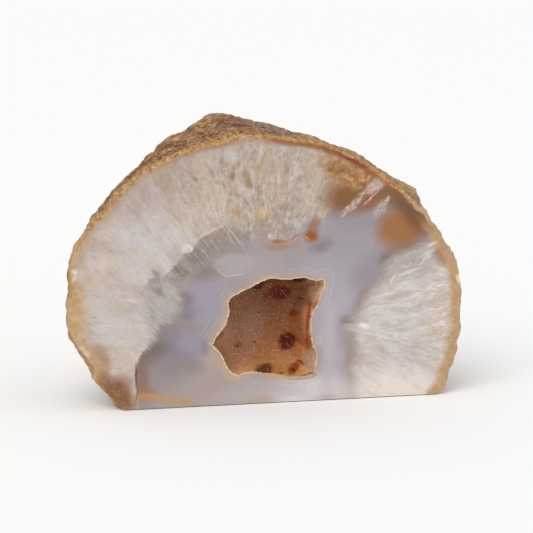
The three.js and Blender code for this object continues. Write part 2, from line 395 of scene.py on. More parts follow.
stone_mesh = stone.data
kinds = face_kinds(stone_mesh)
crease_between(stone_mesh, kinds)
corners = corners_of(stone_mesh)
below = where_meet(stone_mesh, kinds, SAWN) & ~where_meet(stone_mesh, kinds, POLISHED)
skin = distance_from(corners, corners[where_meet(stone_mesh, kinds, RIND, POLISHED)])
skin[below] = distance_from(corners[below], corners[where_meet(stone_mesh, kinds, RIND, SAWN)])
keep_measure(stone_mesh, "skin", skin)
mouth = corners[where_meet(stone_mesh, kinds, POLISHED, POCKET)]
keep_measure(stone_mesh, "rim", distance_from(corners, mouth))
front_view = corners[:, [0, 2]]
beside = -inside_by(corners[:, [0, 1]], CHALCEDONY_BELOW)
left_below = np.where(corners[:, 0] < 0, beside, WELL_OUTSIDE)
right_below = np.where(corners[:, 0] >= 0, beside, WELL_OUTSIDE)
keep_measure(stone_mesh, "quartz_left", np.where(below, left_below, inside_by(front_view, QUARTZ_LEFT)))
keep_measure(stone_mesh, "quartz_right", np.where(below, right_below, inside_by(front_view, QUARTZ_RIGHT)))
keep_measure(stone_mesh, "grey_quartz", np.where(below, WELL_OUTSIDE, inside_by(front_view, GREY_QUARTZ)))
keep_measure(stone_mesh, "relief", standing_proud(stone_mesh, STONE_ROUNDS))

# The colours and finishes of the stone. Patterns are laid out in millimetres in the stone's own space.


class Recipe:
    """Adds the nodes of one shader tree. An input is a number, a colour or another node's output. A colour of
    three parts is one of the screen, 0 to 255, and is turned into the paint that shows as it."""

    light = 1.12  # how brightly this scene lights a paint
    gloss = 0.037  # what the shine of the stone adds

    def __init__(self, tree):
        self.tree = tree

    def paint(self, colour):
        """The paint that shows as a screen colour. Another node's colour stays as it is."""
        if isinstance(colour, bpy.types.NodeSocket):
            return colour
        shares = (part / 255 for part in colour)
        linear = (part / 12.92 if part <= 0.04045 else ((part + 0.055) / 1.055) ** 2.4 for part in shares)
        return (*(max(0, (part - self.gloss) / self.light) for part in linear), 1)

    def node(self, kind, inputs=None, **settings):
        made = self.tree.nodes.new(kind)
        for key, value in settings.items():
            setattr(made, key, value)
        for place, value in (inputs or {}).items():
            if isinstance(value, bpy.types.NodeSocket):
                self.tree.links.new(value, made.inputs[place])
            else:
                made.inputs[place].default_value = value
        return made

    def group(self, tree, inputs=None):
        return self.node("ShaderNodeGroup", inputs, node_tree=tree).outputs

    def place(self):
        """The shaded spot in the stone's space, in millimetres."""
        metres = self.node("ShaderNodeTexCoord").outputs["Object"]
        return self.stretch(metres, (1 / MM, 1 / MM, 1 / MM))

    def measure(self, name):
        return self.node("ShaderNodeAttribute", attribute_name=name).outputs["Fac"]

    def math(self, operation, *values):
        return self.node("ShaderNodeMath", dict(enumerate(values)), operation=operation).outputs[0]

    def times(self, *shares):
        product = shares[0]
        for share in shares[1:]:
            product = self.math("MULTIPLY", product, share)
        return product

    def most(self, *shares):
        """The largest of several shares."""
        largest = shares[0]
        for share in shares[1:]:
            largest = self.math("MAXIMUM", largest, share)
        return largest

    def rest(self, share):
        """What is left of 1."""
        return self.math("SUBTRACT", 1.0, share)

    def vector(self, operation, *values):
        return self.node("ShaderNodeVectorMath", dict(enumerate(values)), operation=operation).outputs[0]

    def length(self, spot):
        return self.node("ShaderNodeVectorMath", {0: spot}, operation="LENGTH").outputs["Value"]

    def stretch(self, spot, factors):
        return self.vector("MULTIPLY", spot, factors)

    def shifted(self, spot, by):
        return self.vector("ADD", spot, by)

    def turned(self, spot, angle):
        """The spot turned in the plane of the polished face."""
        inputs = {"Vector": spot, "Angle": angle}
        return self.node("ShaderNodeVectorRotate", inputs, rotation_type="Y_AXIS").outputs[0]

    def slanted(self, spot, degrees, along, across):
        """The spot measured along and across a slant on the polished face, in the given units."""
        return self.stretch(self.turned(spot, math.radians(degrees)), (1 / along, 1 / across, 1 / across))

    def parts(self, spot):
        return self.node("ShaderNodeSeparateXYZ", {0: spot}).outputs

    def step(self, value, low, high, start=0.0, end=1.0):
        """Goes smoothly from start to end while the value goes from low to high."""
        inputs = {"Value": value, "From Min": low, "From Max": high, "To Min": start, "To Max": end}
        return self.node("ShaderNodeMapRange", inputs, interpolation_type="SMOOTHSTEP").outputs[0]

    def course(self, value, marks):
        """An amount that runs from mark to mark. A mark is a value and the amount there."""
        first, last = marks[0][0], marks[-1][0]
        most = max(amount for _, amount in marks)
        run = self.node("ShaderNodeMapRange", {"Value": value, "From Min": first, "From Max": last})
        ramp = self.node("ShaderNodeValToRGB", {0: run.outputs[0]})
        stops = ramp.color_ramp.elements
        for at, _ in marks[1:-1]:
            stops.new((at - first) / (last - first))
        for stop, (_, amount) in zip(stops, marks):
            stop.alpha = amount / most
        return self.math("MULTIPLY", ramp.outputs["Alpha"], most)

    def line(self, distance, middle, half_width):
        """A soft line where a distance is near the given middle."""
        off = self.math("ABSOLUTE", self.math("SUBTRACT", distance, middle))
        return self.step(off, half_width, 0)

    def noise(self, spot, size, detail=2.0, roughness=0.5, winding=0.0):
        inputs = {
            "Vector": spot, "Scale": 1 / size, "Detail": detail, "Roughness": roughness,
            "Distortion": winding,
        }
        return self.node("ShaderNodeTexNoise", inputs).outputs["Fac"]

    def unevenness(self, spot, size, height):
        """A number that wanders by about the given height to both sides of zero."""
        return self.math("MULTIPLY", self.math("SUBTRACT", self.noise(spot, size), 0.5), 4 * height)

    def warped(self, spot, size, height):
        """The spot moved about by a soft noise."""
        inputs = {"Vector": spot, "Scale": 1 / size, "Detail": 2.0}
        cloud = self.node("ShaderNodeTexNoise", inputs).outputs["Color"]
        centred = self.shifted(cloud, (-0.5, -0.5, -0.5))
        return self.shifted(spot, self.stretch(centred, (4 * height,) * 3))

    def blend(self, share, below, above):
        """Goes from one colour to another while the share goes from 0 to 1."""
        inputs = {0: share, 6: self.paint(below), 7: self.paint(above)}
        return self.node("ShaderNodeMix", inputs, data_type="RGBA").outputs[2]

    def laid(self, colour, tint, *shares):
        """A colour with a tint laid over it, by the product of some shares from 0 to 1."""
        return self.blend(self.times(*shares), colour, tint)

    def lighten(self, colour, value, darkest, brightest):
        """Scales a colour's brightness while the value goes from 0 to 1."""
        inputs = {"Value": value, "To Min": darkest, "To Max": brightest}
        amount = self.node("ShaderNodeMapRange", inputs).outputs[0]
        return self.node("ShaderNodeHueSaturation", {"Color": colour, "Value": amount}).outputs[0]


def new_group(name, takes, gives):
    """An empty shader group with named inputs and outputs: its tree, its inputs and a recipe to fill it."""
    tree = bpy.data.node_groups.new(name, "ShaderNodeTree")
    for label, kind in takes.items():
        tree.interface.new_socket(label, in_out="INPUT", socket_type=kind)
    for label, kind in gives.items():
        tree.interface.new_socket(label, in_out="OUTPUT", socket_type=kind)
    return tree, tree.nodes.new("NodeGroupInput").outputs, Recipe(tree)


NUMBER, VECTOR, COLOUR = "NodeSocketFloat", "NodeSocketVector", "NodeSocketColor"

# A soft-edged ellipsoid, 1 inside and 0 outside, turned anticlockwise as seen from the front
soft_patch, given, recipe = new_group(
    "soft_patch",
    {"Place": VECTOR, "Centre": VECTOR, "Radii": VECTOR, "Turn": NUMBER, "Softness": NUMBER},
    {"Mask": NUMBER},
)
turned = recipe.turned(recipe.vector("SUBTRACT", given["Place"], given["Centre"]), given["Turn"])
reach = recipe.length(recipe.vector("DIVIDE", turned, given["Radii"]))
outer = recipe.math("ADD", 1.0, given["Softness"])
inner = recipe.math("SUBTRACT", 1.0, given["Softness"])
recipe.node("NodeGroupOutput", {"Mask": recipe.step(reach, outer, inner)})

# Crystals that radiate from a centre: clouds, tints and flecks of colour, fine hairs, short dashes, and
# threads that wind like the outlines of long lenses. Fineness is how closely set they are.
fibres, given, recipe = new_group(
    "fibres",
    {"Place": VECTOR, "Centre": VECTOR, "Fineness": NUMBER},
    {"Cloud": NUMBER, "Tint": NUMBER, "Fleck": NUMBER, "Hair": NUMBER, "Dash": NUMBER, "Thread": NUMBER},
)
ray = recipe.vector("SUBTRACT", given["Place"], given["Centre"])
radius = recipe.length(ray)
heading = recipe.vector("NORMALIZE", ray)


def combed(length):
    """The spot laid out so that a pattern of 1 millimetre on it is about this long along the crystals."""
    depth = recipe.math("MULTIPLY_ADD", radius, 1 / length, given["Fineness"])
    return recipe.node("ShaderNodeVectorMath", {0: heading, "Scale": depth}, operation="SCALE").outputs[0]


short, middling, long = combed(2), combed(4), combed(8)
fine_threads = recipe.line(recipe.noise(long, 1.2, detail=1, winding=0.2), 0.5, 0.06)
coarse_threads = recipe.line(recipe.noise(middling, 2.6, detail=1, winding=0.15), 0.52, 0.025)
threads = recipe.most(coarse_threads, recipe.times(fine_threads, 0.7))
recipe.node("NodeGroupOutput", {
    "Cloud": recipe.noise(short, 4.4, detail=4, roughness=0.62),
    "Tint": recipe.noise(recipe.shifted(short, (31, 7, 19)), 5, detail=3, roughness=0.6),
    "Fleck": recipe.noise(short, 1.0, detail=3, roughness=0.65),
    "Hair": recipe.noise(long, 0.42, detail=2, roughness=0.65),
    "Dash": recipe.step(recipe.noise(middling, 0.8, detail=2), 0.38, 0.28),
    "Thread": recipe.times(threads, recipe.step(recipe.noise(middling, 3), 0.42, 0.58)),
})


PATCH_DEPTH = 16  # how far a patch of the polished face goes into the stone, in millimetres


def patch(recipe, spot, x, z, wide, high, turn=0.0, softness=0.5):
    """The mask of one soft patch on the polished face."""
    inputs = {
        "Place": spot, "Centre": (x, FACE_MM, z), "Radii": (wide, PATCH_DEPTH, high),
        "Turn": math.radians(turn), "Softness": softness,
    }
    return recipe.group(soft_patch, inputs)["Mask"]


def stained(recipe, colour, spot, stains):
    """Lays soft patches over a colour. A stain gives x, z, half width, half height, degrees of turn,
    softness, strength and the colour."""
    for x, z, wide, high, turn, softness, strength, tint in stains:
        mask = patch(recipe, spot, x, z, wide, high, turn, softness)
        colour = recipe.laid(colour, tint, mask, strength)
    return colour


def grainy(recipe, spot, size, dark, light):
    """Coarse crystal grains between two colours."""
    grains = recipe.noise(recipe.warped(spot, 1.5, 0.3), size, detail=4, roughness=0.7)
    return recipe.blend(recipe.step(grains, 0.38, 0.62), dark, light)


# Clouds in the chalcedony
CLOUDS = [
    (20, 31, 12, 12, 0, 0.7, 0.9, (176, 170, 180)),
    (24, 43, 10, 8, 0, 0.7, 0.8, (162, 155, 165)),
    (-17, 24, 6, 12, -8, 0.7, 0.7, (160, 150, 157)),
    (-27, 16.5, 7, 6.5, -30, 0.8, 0.88, (127, 115, 119)),
    (-32, 14, 4, 2.5, 50, 0.7, 0.95, (116, 98, 91)),
    (-22.8, 29, 2.6, 2.2, 0, 0.7, 0.8, (130, 118, 122)),
    (-20.6, 25.6, 3.2, 1.4, 10, 0.7, 0.7, (128, 117, 121)),
    (-23, 21.6, 5.5, 1.4, 6, 0.7, 0.55, (152, 137, 130)),
    (-22, 17.5, 4, 3, -20, 0.7, 0.8, (160, 153, 170)),
    (-17, 28, 3.5, 5, -10, 0.7, 0.75, (162, 155, 172)),
    (-27, 19.5, 3, 2, 20, 0.6, 0.7, (146, 137, 146)),
    (-19.5, 10.5, 3, 1.8, 10, 0.7, 0.7, (140, 130, 134)),
    (-25, 13.5, 3, 2.5, 0, 0.8, 0.5, (150, 140, 152)),
    (-5, 38, 9, 4, 0, 0.6, 0.6, (176, 164, 162)),
    (2, 2.5, 24, 4.5, 0, 0.8, 0.8, (190, 178, 177)),
    (16, 2, 11.5, 5, 0, 0.7, 0.95, (215, 206, 204)),
    (-22, 5, 10, 4, 0, 0.7, 0.6, (174, 157, 153)),
    (-14, 9, 5, 4, 0, 0.8, 0.7, (176, 158, 152)),
    (-30, 10, 6, 5, 0, 0.8, 0.6, (156, 142, 144)),
    (-2.5, 1, 3.5, 1.0, 4, 0.7, 0.6, (190, 162, 132)),
    (7, 0.6, 3.5, 0.8, 0, 0.7, 0.7, (222, 214, 212)),
    (17.5, 0.6, 3, 0.9, 0, 0.7, 0.6, (176, 160, 156)),
    (-34.5, 9, 1.8, 5, 0, 0.8, 0.7, (140, 106, 86)),
    (-33.5, 4, 3, 1.8, -20, 0.8, 0.75, (168, 112, 76)),
    (-28.5, 2.3, 8.5, 1.0, -12, 0.9, 0.95, (190, 155, 110)),
    (17.5, 14, 2.2, 12, 0, 0.7, 0.8, (190, 182, 189)),
    (20.8, 8.5, 1.3, 5, 0, 0.7, 0.7, (186, 176, 183)),
    (23.4, 10, 1.0, 4.5, 0, 0.8, 0.6, (166, 148, 146)),
    (22.3, 21.6, 1.6, 1.2, 0, 0.7, 0.8, (138, 122, 126)),
    (26.6, 27, 1.8, 4, -30, 0.8, 0.7, (156, 138, 132)),
    (24.8, 17.5, 1.2, 3, 0, 0.8, 0.5, (160, 142, 138)),
    (27.5, 33.5, 5, 3.5, 45, 0.8, 0.6, (146, 136, 140)),
    (33, 38.3, 2.2, 1.0, 40, 0.7, 0.7, (126, 104, 98)),
    (39, 41, 7, 2, 14, 0.8, 0.75, (126, 112, 112)),
    (15, 42.3, 3, 1.8, 20, 0.8, 0.7, (134, 123, 124)),
    (3.5, 42.7, 4, 1.3, 0, 0.6, 0.85, (170, 136, 110)),
    (9.6, 41.5, 0.6, 2, 10, 0.7, 0.5, (178, 154, 122)),
    (-18, 36.7, 3.4, 2, 35, 0.8, 0.7, (138, 126, 125)),
    (-15, 36.4, 2.8, 1.8, 20, 0.8, 0.6, (140, 124, 121)),
    (-14.5, 12.8, 3, 2.4, -40, 0.8, 0.7, (190, 165, 148)),
    (-10.5, 42.4, 5, 1.6, 12, 0.7, 0.6, (152, 138, 132)),
    (-9, 38.4, 5.6, 2.7, 3, 0.2, 0.7, (179, 169, 169)),
    (-17.2, 16.2, 1.2, 1.9, 0, 0.7, 0.6, (136, 123, 122)),
    (28, 50.5, 10, 3.5, 10, 0.8, 0.6, (154, 143, 144)),
    (36, 54.3, 6, 3, -40, 0.8, 0.9, (140, 108, 86)),
    (42, 50.4, 5.4, 3.8, -50, 0.8, 0.95, (116, 84, 64)),
]


def chalcedony(recipe, spot, wandering):
    """Mauve-grey chalcedony, with its clouds and a faint grain."""
    colour = recipe.blend(recipe.noise(spot, 11, detail=3), (148, 136, 137), (184, 173, 174))
    colour = stained(recipe, colour, wandering, CLOUDS)
    return recipe.lighten(colour, recipe.noise(spot, 0.45, detail=2), 0.94, 1.06)


# Thin bands round the hollow: how far from it, half the width, strength and colour
HOLLOW_BANDS = [
    (1.0, 0.5, 0.3, (184, 162, 146)),
    (1.9, 0.4, 0.4, (190, 182, 186)),
    (2.5, 0.2, 0.35, (146, 133, 137)),
    (3.1, 0.5, 0.25, (174, 167, 177)),
    (3.9, 0.25, 0.2, (150, 139, 144)),
]


def banded(recipe, colour, spot):
    """The bands of chalcedony round the hollow, and the warm stain on its left and above it."""
    distance = recipe.math("ADD", recipe.measure("rim"), recipe.unevenness(spot, 5, 0.5))
    stain = recipe.step(distance, 1.6, 0.2)
    warm = recipe.most(
        recipe.times(patch(recipe, spot, -12, 22, 5, 8), 0.4),
        recipe.times(patch(recipe, spot, -9, 8, 4, 4), 0.6),
        recipe.times(patch(recipe, spot, 5, 34, 12, 2.5), 0.2),
        0.05,
    )
    colour = recipe.laid(colour, (206, 176, 142), stain, warm)
    shown = recipe.step(recipe.noise(spot, 7), 0.44, 0.6, 0.1, 1.0)
    for middle, half_width, strength, tint in HOLLOW_BANDS:
        band = recipe.line(distance, middle, half_width)
        colour = recipe.laid(colour, tint, band, shown, strength)
    return colour


def crystals(recipe, spot, centre, curl, fineness=36.0):
    """Fibres that radiate from a centre on the polished face, and waver by the given curl."""
    middle = (centre[0], FACE_MM, centre[1])
    place = recipe.warped(spot, 5, curl)
    return recipe.group(fibres, {"Place": place, "Centre": middle, "Fineness": fineness})


def fibrous(recipe, colour, spot, grown, contrast):
    """Flecks, hairs and grains in a colour."""
    colour = recipe.lighten(colour, recipe.step(grown["Fleck"], 0.3, 0.7), 1 - contrast, 1 + contrast)
    strong = 2.5 * contrast
    colour = recipe.lighten(colour, grown["Hair"], 1 - strong, 1 + strong)
    grain = recipe.noise(spot, 0.36, detail=2, roughness=0.7)
    return recipe.lighten(colour, grain, 1 - strong, 1 + strong)


# Shades of the grey quartz, and darker clots in it: x, z, half length and half width
GREY_SHADES = [
    (-29.2, 27.5, 4.5, 7, -20, 0.7, 0.8, (184, 175, 173)),
    (-15, 42.5, 12, 4.4, 32, 0.6, 0.75, (147, 132, 124)),
]
GREY_CLOTS = [(-24, 37, 3.2, 1.3), (-29.6, 31.6, 2.0, 0.9), (-20.5, 40, 2.4, 1.0), (-28.5, 21.6, 1.6, 0.7)]


def grey_quartz(recipe, spot, wandering, near, grown):
    """Greyer fibrous quartz between the white quartz on the left and the chalcedony."""
    colour = recipe.blend(recipe.step(grown["Cloud"], 0.4, 0.6), (148, 135, 131), (180, 169, 166))
    colour = stained(recipe, colour, wandering, GREY_SHADES)
    for clot in GREY_CLOTS:
        mask = patch(recipe, near, *clot, -40, 0.7)
        colour = recipe.laid(colour, (122, 107, 95), mask, 0.5)
    tan = patch(recipe, wandering, -12, 46.8, 5, 1.6, 20, 0.7)
    colour = recipe.laid(colour, (166, 146, 122), tan, 0.5)
    colour = fibrous(recipe, colour, spot, grown, 0.06)
    light_hairs = recipe.step(grown["Hair"], 0.54, 0.68)
    colour = recipe.laid(colour, (206, 198, 194), light_hairs, 0.4)
    colour = recipe.laid(colour, (122, 108, 100), grown["Dash"], 0.4)
    return recipe.laid(colour, (208, 200, 196), grown["Thread"], 0.3)


# Shades in the left lobe of the quartz, and in the top of it
SHADES_LEFT = [
    (-49, 45, 8, 11, -20, 0.8, 0.6, (187, 166, 150)),
    (-38, 55, 6, 3.5, 35, 0.8, 0.6, (180, 160, 150)),
    (-38, 47, 5, 5, 20, 0.8, 0.5, (205, 199, 201)),
    (-46, 40, 3.4, 2.6, 0, 0.8, 0.6, (216, 204, 196)),
    (-33, 40, 6, 4, 35, 0.7, 0.7, (208, 198, 194)),
    (-38, 20, 7, 5, -30, 0.8, 0.5, (210, 201, 194)),
    (-44, 30, 8, 5, 0, 0.8, 0.5, (198, 182, 168)),
    (-37, 31.5, 4.5, 1.6, -30, 0.8, 0.35, (200, 176, 150)),
    (-41, 13, 3.5, 6, 10, 0.8, 0.5, (206, 190, 178)),
    (-28, 61, 9, 5, 38, 0.8, 0.75, (173, 152, 137)),
    (-25, 47, 3.5, 2, 30, 0.8, 0.6, (214, 203, 195)),
    (-20, 59, 4, 4, 30, 0.8, 0.6, (172, 157, 152)),
    (1, 60, 20, 13, 0, 0.6, 0.8, (175, 156, 139)),
    (3, 48, 11, 4, 0, 0.8, 0.8, (160, 144, 132)),
    (-14, 55, 3.2, 7, 35, 0.7, 0.55, (204, 188, 170)),
    (-7, 60, 2.2, 8, 10, 0.7, 0.45, (198, 180, 162)),
    (-1.4, 51.8, 2.1, 1.4, 0, 0.7, 0.9, (200, 168, 118)),
    (-8.2, 52, 1.3, 1.1, 0, 0.7, 0.8, (194, 154, 98)),
]
# Pits, clots and white wisps in the quartz
CLOTS = [
    (-9.7, 61.8, 0.8, 1.4, 5, 0.7, 0.65, (146, 112, 82)),
    (-5.4, 61.2, 1.1, 2.2, 20, 0.7, 0.65, (150, 118, 88)),
    (-4.6, 59.4, 1.0, 0.7, 0, 0.7, 0.5, (154, 118, 84)),
    (-2.5, 64, 0.8, 1.2, 0, 0.7, 0.5, (190, 152, 112)),
    (-19.6, 61.6, 0.9, 0.6, -40, 0.7, 0.7, (136, 120, 112)),
    (-15.2, 63.2, 0.8, 1.6, 12, 0.8, 0.5, (150, 130, 116)),
    (-12.6, 66.2, 0.6, 0.8, 0, 0.8, 0.5, (146, 120, 100)),
    (-3.6, 68, 0.6, 1.0, -10, 0.8, 0.5, (150, 128, 108)),
    (-5, 46.4, 0.5, 0.5, 0, 0.6, 0.7, (126, 96, 74)),
    (0.8, 45.6, 0.5, 0.7, 0, 0.6, 0.7, (222, 216, 210)),
    (-30.5, 36.6, 1.6, 0.8, -38, 0.6, 0.6, (140, 122, 112)),
    (-51.2, 37.2, 1.1, 1.6, 10, 0.8, 0.7, (222, 212, 202)),
    (-37.5, 29.6, 1.6, 0.35, -15, 0.7, 0.6, (226, 216, 206)),
    (-10.2, 67.6, 1.3, 1.8, 15, 0.8, 0.6, (206, 198, 196)),
    (-1.6, 69.6, 0.7, 2.6, 3, 0.7, 0.6, (212, 202, 196)),
    (9.8, 57.6, 1.3, 2.6, 0, 0.8, 0.4, (198, 192, 192)),
    (8, 63.4, 0.7, 1.8, -10, 0.7, 0.6, (214, 206, 200)),
    (3.2, 60, 0.35, 3, -2, 0.7, 0.6, (212, 200, 186)),
    (8.4, 48.6, 0.8, 2, 35, 0.7, 0.6, (210, 202, 196)),
]
# Shades in the right lobe, and at its foot
SHADES_RIGHT = [
    (41, 36.8, 8, 3.6, 22, 0.8, 0.9, (176, 163, 159)),
    (36, 2, 17, 5, 0, 0.7, 0.95, (233, 222, 213)),
    (27, 11, 4, 4, 0, 0.8, 0.5, (208, 190, 174)),
    (49, 20, 4, 16, 0, 0.8, 0.5, (202, 180, 158)),
    (47.5, 41, 1.8, 3, 30, 0.7, 0.8, (148, 118, 98)),
]


def left_quartz(recipe, spot, wandering, near, grown):
    """White fibrous quartz, velvety on the left, and browner with chips and long lenses at the top."""
    colour = recipe.blend(recipe.step(grown["Cloud"], 0.36, 0.64), (189, 173, 162), (206, 197, 193))
    colour = stained(recipe, colour, wandering, SHADES_LEFT)
    cream = recipe.times(recipe.step(grown["Tint"], 0.5, 0.66), 0.35)
    colour = recipe.laid(colour, (208, 188, 162), cream)
    cool = recipe.times(recipe.step(grown["Tint"], 0.48, 0.34), 0.35)
    colour = recipe.laid(colour, (196, 188, 192), cool)
    colour = fibrous(recipe, colour, spot, grown, 0.045)
    broken = patch(recipe, spot, 1, 58, 22, 15)
    chips = recipe.noise(recipe.warped(spot, 3, 0.6), 2.0, detail=4, roughness=0.62)
    mixed = recipe.math("ADD", recipe.times(chips, 0.7), recipe.times(grown["Fleck"], 0.3))
    bright = recipe.times(recipe.step(mixed, 0.52, 0.6), broken, 0.6)
    colour = recipe.laid(colour, (210, 201, 194), bright)
    dim = recipe.times(recipe.step(mixed, 0.5, 0.38), broken, 0.6)
    colour = recipe.laid(colour, (150, 129, 112), dim)
    ochre = recipe.times(recipe.step(chips, 0.55, 0.66), recipe.step(grown["Tint"], 0.46, 0.6), broken, 0.6)
    colour = recipe.laid(colour, (178, 140, 98), ochre)
    colour = recipe.laid(colour, (152, 130, 113), grown["Dash"], 0.22)
    shown = recipe.math("MULTIPLY_ADD", broken, 0.3, 0.22)
    colour = recipe.laid(colour, (220, 212, 207), grown["Thread"], shown)
    return stained(recipe, colour, near, CLOTS)


def right_quartz(recipe, spot, wandering, grown):
    """White fibrous quartz with a filigree of brighter threads, calm at the foot and flaky near the rind."""
    colour = recipe.blend(recipe.step(grown["Cloud"], 0.36, 0.64), (192, 180, 173), (212, 204, 202))
    colour = stained(recipe, colour, wandering, SHADES_RIGHT)
    cream = recipe.times(recipe.step(grown["Tint"], 0.5, 0.64), 0.35)
    colour = recipe.laid(colour, (205, 186, 166), cream)
    colour = fibrous(recipe, colour, spot, grown, 0.03)
    lively = recipe.rest(patch(recipe, spot, 36, 1, 17, 6, 0, 0.4))
    wisps = recipe.times(recipe.step(grown["Fleck"], 0.54, 0.68), lively, 0.3)
    colour = recipe.laid(colour, (220, 214, 211), wisps)
    colour = recipe.laid(colour, (164, 146, 134), grown["Dash"], lively, 0.25)
    threads = recipe.times(grown["Thread"], lively, 0.6)
    colour = recipe.laid(colour, (230, 225, 222), threads)
    slant = recipe.slanted(recipe.warped(spot, 2, 0.3), 18, 3.2, 0.7)
    flakes = recipe.noise(slant, 0.9, detail=2, roughness=0.6)
    bright = recipe.times(recipe.step(flakes, 0.56, 0.62), patch(recipe, spot, 49, 26, 3.6, 15), 0.7)
    return recipe.laid(colour, (232, 224, 214), bright)


# Brown and orange stains over the quartz and the chalcedony
STAINS = [
    (37.6, 46.4, 6.6, 5, 0, 0.45, 0.97, (157, 107, 69)),
    (35, 45, 4.2, 3.4, 35, 0.8, 0.5, (164, 118, 74)),
    (43, 48.4, 4.6, 2.8, -45, 0.7, 0.7, (122, 76, 52)),
    (13.2, 47.6, 1.7, 2.6, -12, 0.7, 0.8, (156, 112, 76)),
    (12.4, 45.2, 1.9, 1.4, 0, 0.6, 0.95, (146, 88, 54)),
    (11.2, 44.9, 1.5, 0.45, -42, 0.5, 0.9, (192, 138, 84)),
    (12.8, 44.2, 1.1, 0.42, 22, 0.5, 0.85, (176, 108, 56)),
    (9.6, 45.5, 0.9, 0.24, 10, 0.5, 0.75, (186, 138, 90)),
    (8.2, 45, 1.3, 0.26, 28, 0.5, 0.75, (156, 108, 74)),
    (6.2, 44, 1.5, 0.3, 20, 0.6, 0.75, (176, 130, 90)),
    (3, 43.9, 2.2, 0.45, -4, 0.6, 0.8, (160, 108, 72)),
    (22.6, 1.4, 4, 2.8, 0, 0.8, 0.6, (212, 199, 192)),
    (-46.2, 13, 3.3, 4.8, 8, 0.4, 0.85, (172, 138, 106)),
    (-39.4, 5.8, 2.6, 3.6, 0, 0.7, 0.75, (156, 124, 102)),
    (-47.5, 9.5, 2.6, 2.4, -50, 0.7, 0.8, (202, 160, 106)),
    (-53.5, 25.5, 3.8, 5.0, 0, 0.7, 0.75, (206, 166, 118)),
    (-53, 31.3, 3.0, 1.9, 0, 0.6, 0.7, (188, 144, 98)),
    (49, 38.8, 1.6, 3.4, 28, 0.7, 0.75, (152, 112, 78)),
]
# Bright spots and cracks
MARKS = [
    (-22.6, 43, 1.3, 0.7, 45, 0.6, 0.65, (224, 218, 214)),
    (-20.8, 42.7, 0.9, 0.35, 50, 0.6, 0.7, (226, 220, 214)),
    (-21.2, 43.4, 0.9, 0.4, -40, 0.6, 0.6, (236, 226, 214)),
    (-17.6, 46.4, 2.2, 0.25, 32, 0.8, 0.7, (214, 203, 190)),
    (-14.6, 47.7, 1.8, 0.25, 24, 0.8, 0.7, (214, 203, 190)),
    (-12.4, 49, 1.2, 0.22, 55, 0.8, 0.5, (210, 199, 186)),
    (-9.4, 46.6, 5.2, 0.2, -54, 0.8, 0.6, (206, 192, 178)),
    (-11.4, 47, 3.4, 0.16, -52, 0.8, 0.35, (206, 192, 178)),
    (-26, 51.5, 6, 0.22, -45, 0.8, 0.45, (214, 204, 196)),
    (27.3, 20.1, 1.3, 0.7, -18, 0.8, 0.9, (238, 234, 226)),
    (22.6, 21, 1.3, 0.5, 0, 0.8, 0.7, (148, 128, 118)),
    (30.5, 17.2, 6, 0.22, -14, 0.8, 0.7, (226, 219, 214)),
    (37.4, 15.4, 2.4, 0.22, -28, 0.8, 0.6, (226, 219, 214)),
    (29.4, 21.5, 2.2, 0.25, 38, 0.8, 0.6, (224, 218, 214)),
    (35.3, 32.6, 1.5, 0.25, 68, 0.8, 0.7, (226, 220, 216)),
    (39.8, 34.2, 3.4, 0.35, 16, 0.8, 0.7, (224, 217, 213)),
    (43.8, 36.8, 1.2, 0.22, 60, 0.8, 0.6, (226, 220, 216)),
    (46.4, 41.6, 1.5, 0.45, 24, 0.7, 0.85, (226, 219, 213)),
    (45.4, 39.4, 2.6, 0.8, 30, 0.8, 0.6, (216, 208, 203)),
    (54.3, 31.8, 0.8, 1.3, 15, 0.5, 0.9, (228, 212, 192)),
    (-49.6, 15.6, 1.1, 0.8, -40, 0.7, 0.75, (228, 208, 186)),
    (-50.6, 17.3, 0.8, 0.6, -60, 0.7, 0.7, (222, 198, 170)),
    (-52.4, 37.9, 0.8, 0.8, 30, 0.7, 0.8, (228, 218, 208)),
    (-52.6, 36.2, 0.6, 0.9, -20, 0.7, 0.7, (222, 210, 196)),
    (-15.5, 16.6, 0.9, 0.5, -40, 0.7, 0.7, (224, 216, 210)),
    (-36.15, 9.2, 0.28, 2.6, 2, 0.7, 0.95, (112, 68, 42)),
    (-35.8, 4.4, 0.3, 2.8, -8, 0.8, 0.7, (146, 92, 56)),
    (-12.2, 35.9, 2.0, 0.22, -34, 0.8, 0.6, (202, 194, 191)),
    (-8.6, 35.5, 2.2, 0.22, 8, 0.8, 0.7, (206, 198, 194)),
    (14.2, 16.6, 1.3, 1.4, 0, 0.3, 0.5, (198, 189, 188)),
    (14.1, 16.6, 0.7, 0.8, 0, 0.5, 0.5, (168, 158, 160)),
]
# Glows at the upper right, and a warmer and a paler fleck among them
GLOWS = [
    (23, 55.8, 6.8, 4.4, 12, 0.6, 0.95, (139, 92, 55)),
    (29.5, 56.5, 7, 4.2, -10, 0.6, 0.9, (140, 98, 68)),
    (39.4, 53.6, 7.5, 2.6, -44, 0.7, 0.9, (120, 88, 70)),
]
EMBERS = [
    (28.6, 54, 3, 1.4, 50, 0.8, 0.6, (152, 96, 60)),
    (31.4, 59, 2.8, 1.4, 30, 0.8, 0.6, (192, 178, 170)),
]
# White feathers of crystal at the upper right: x, z, half length, half width, degrees of turn
FEATHERS = [
    (30.4, 58.4, 3.4, 1.5, 38), (31.8, 52, 2.4, 1.2, 52), (24.6, 53.4, 2.6, 1.0, 45),
    (22, 51.6, 1.8, 0.8, 50), (27.6, 56.8, 2.0, 0.6, 25), (33.6, 54.4, 1.2, 0.6, 50),
    (28.8, 54.6, 2.4, 0.32, 44),
]


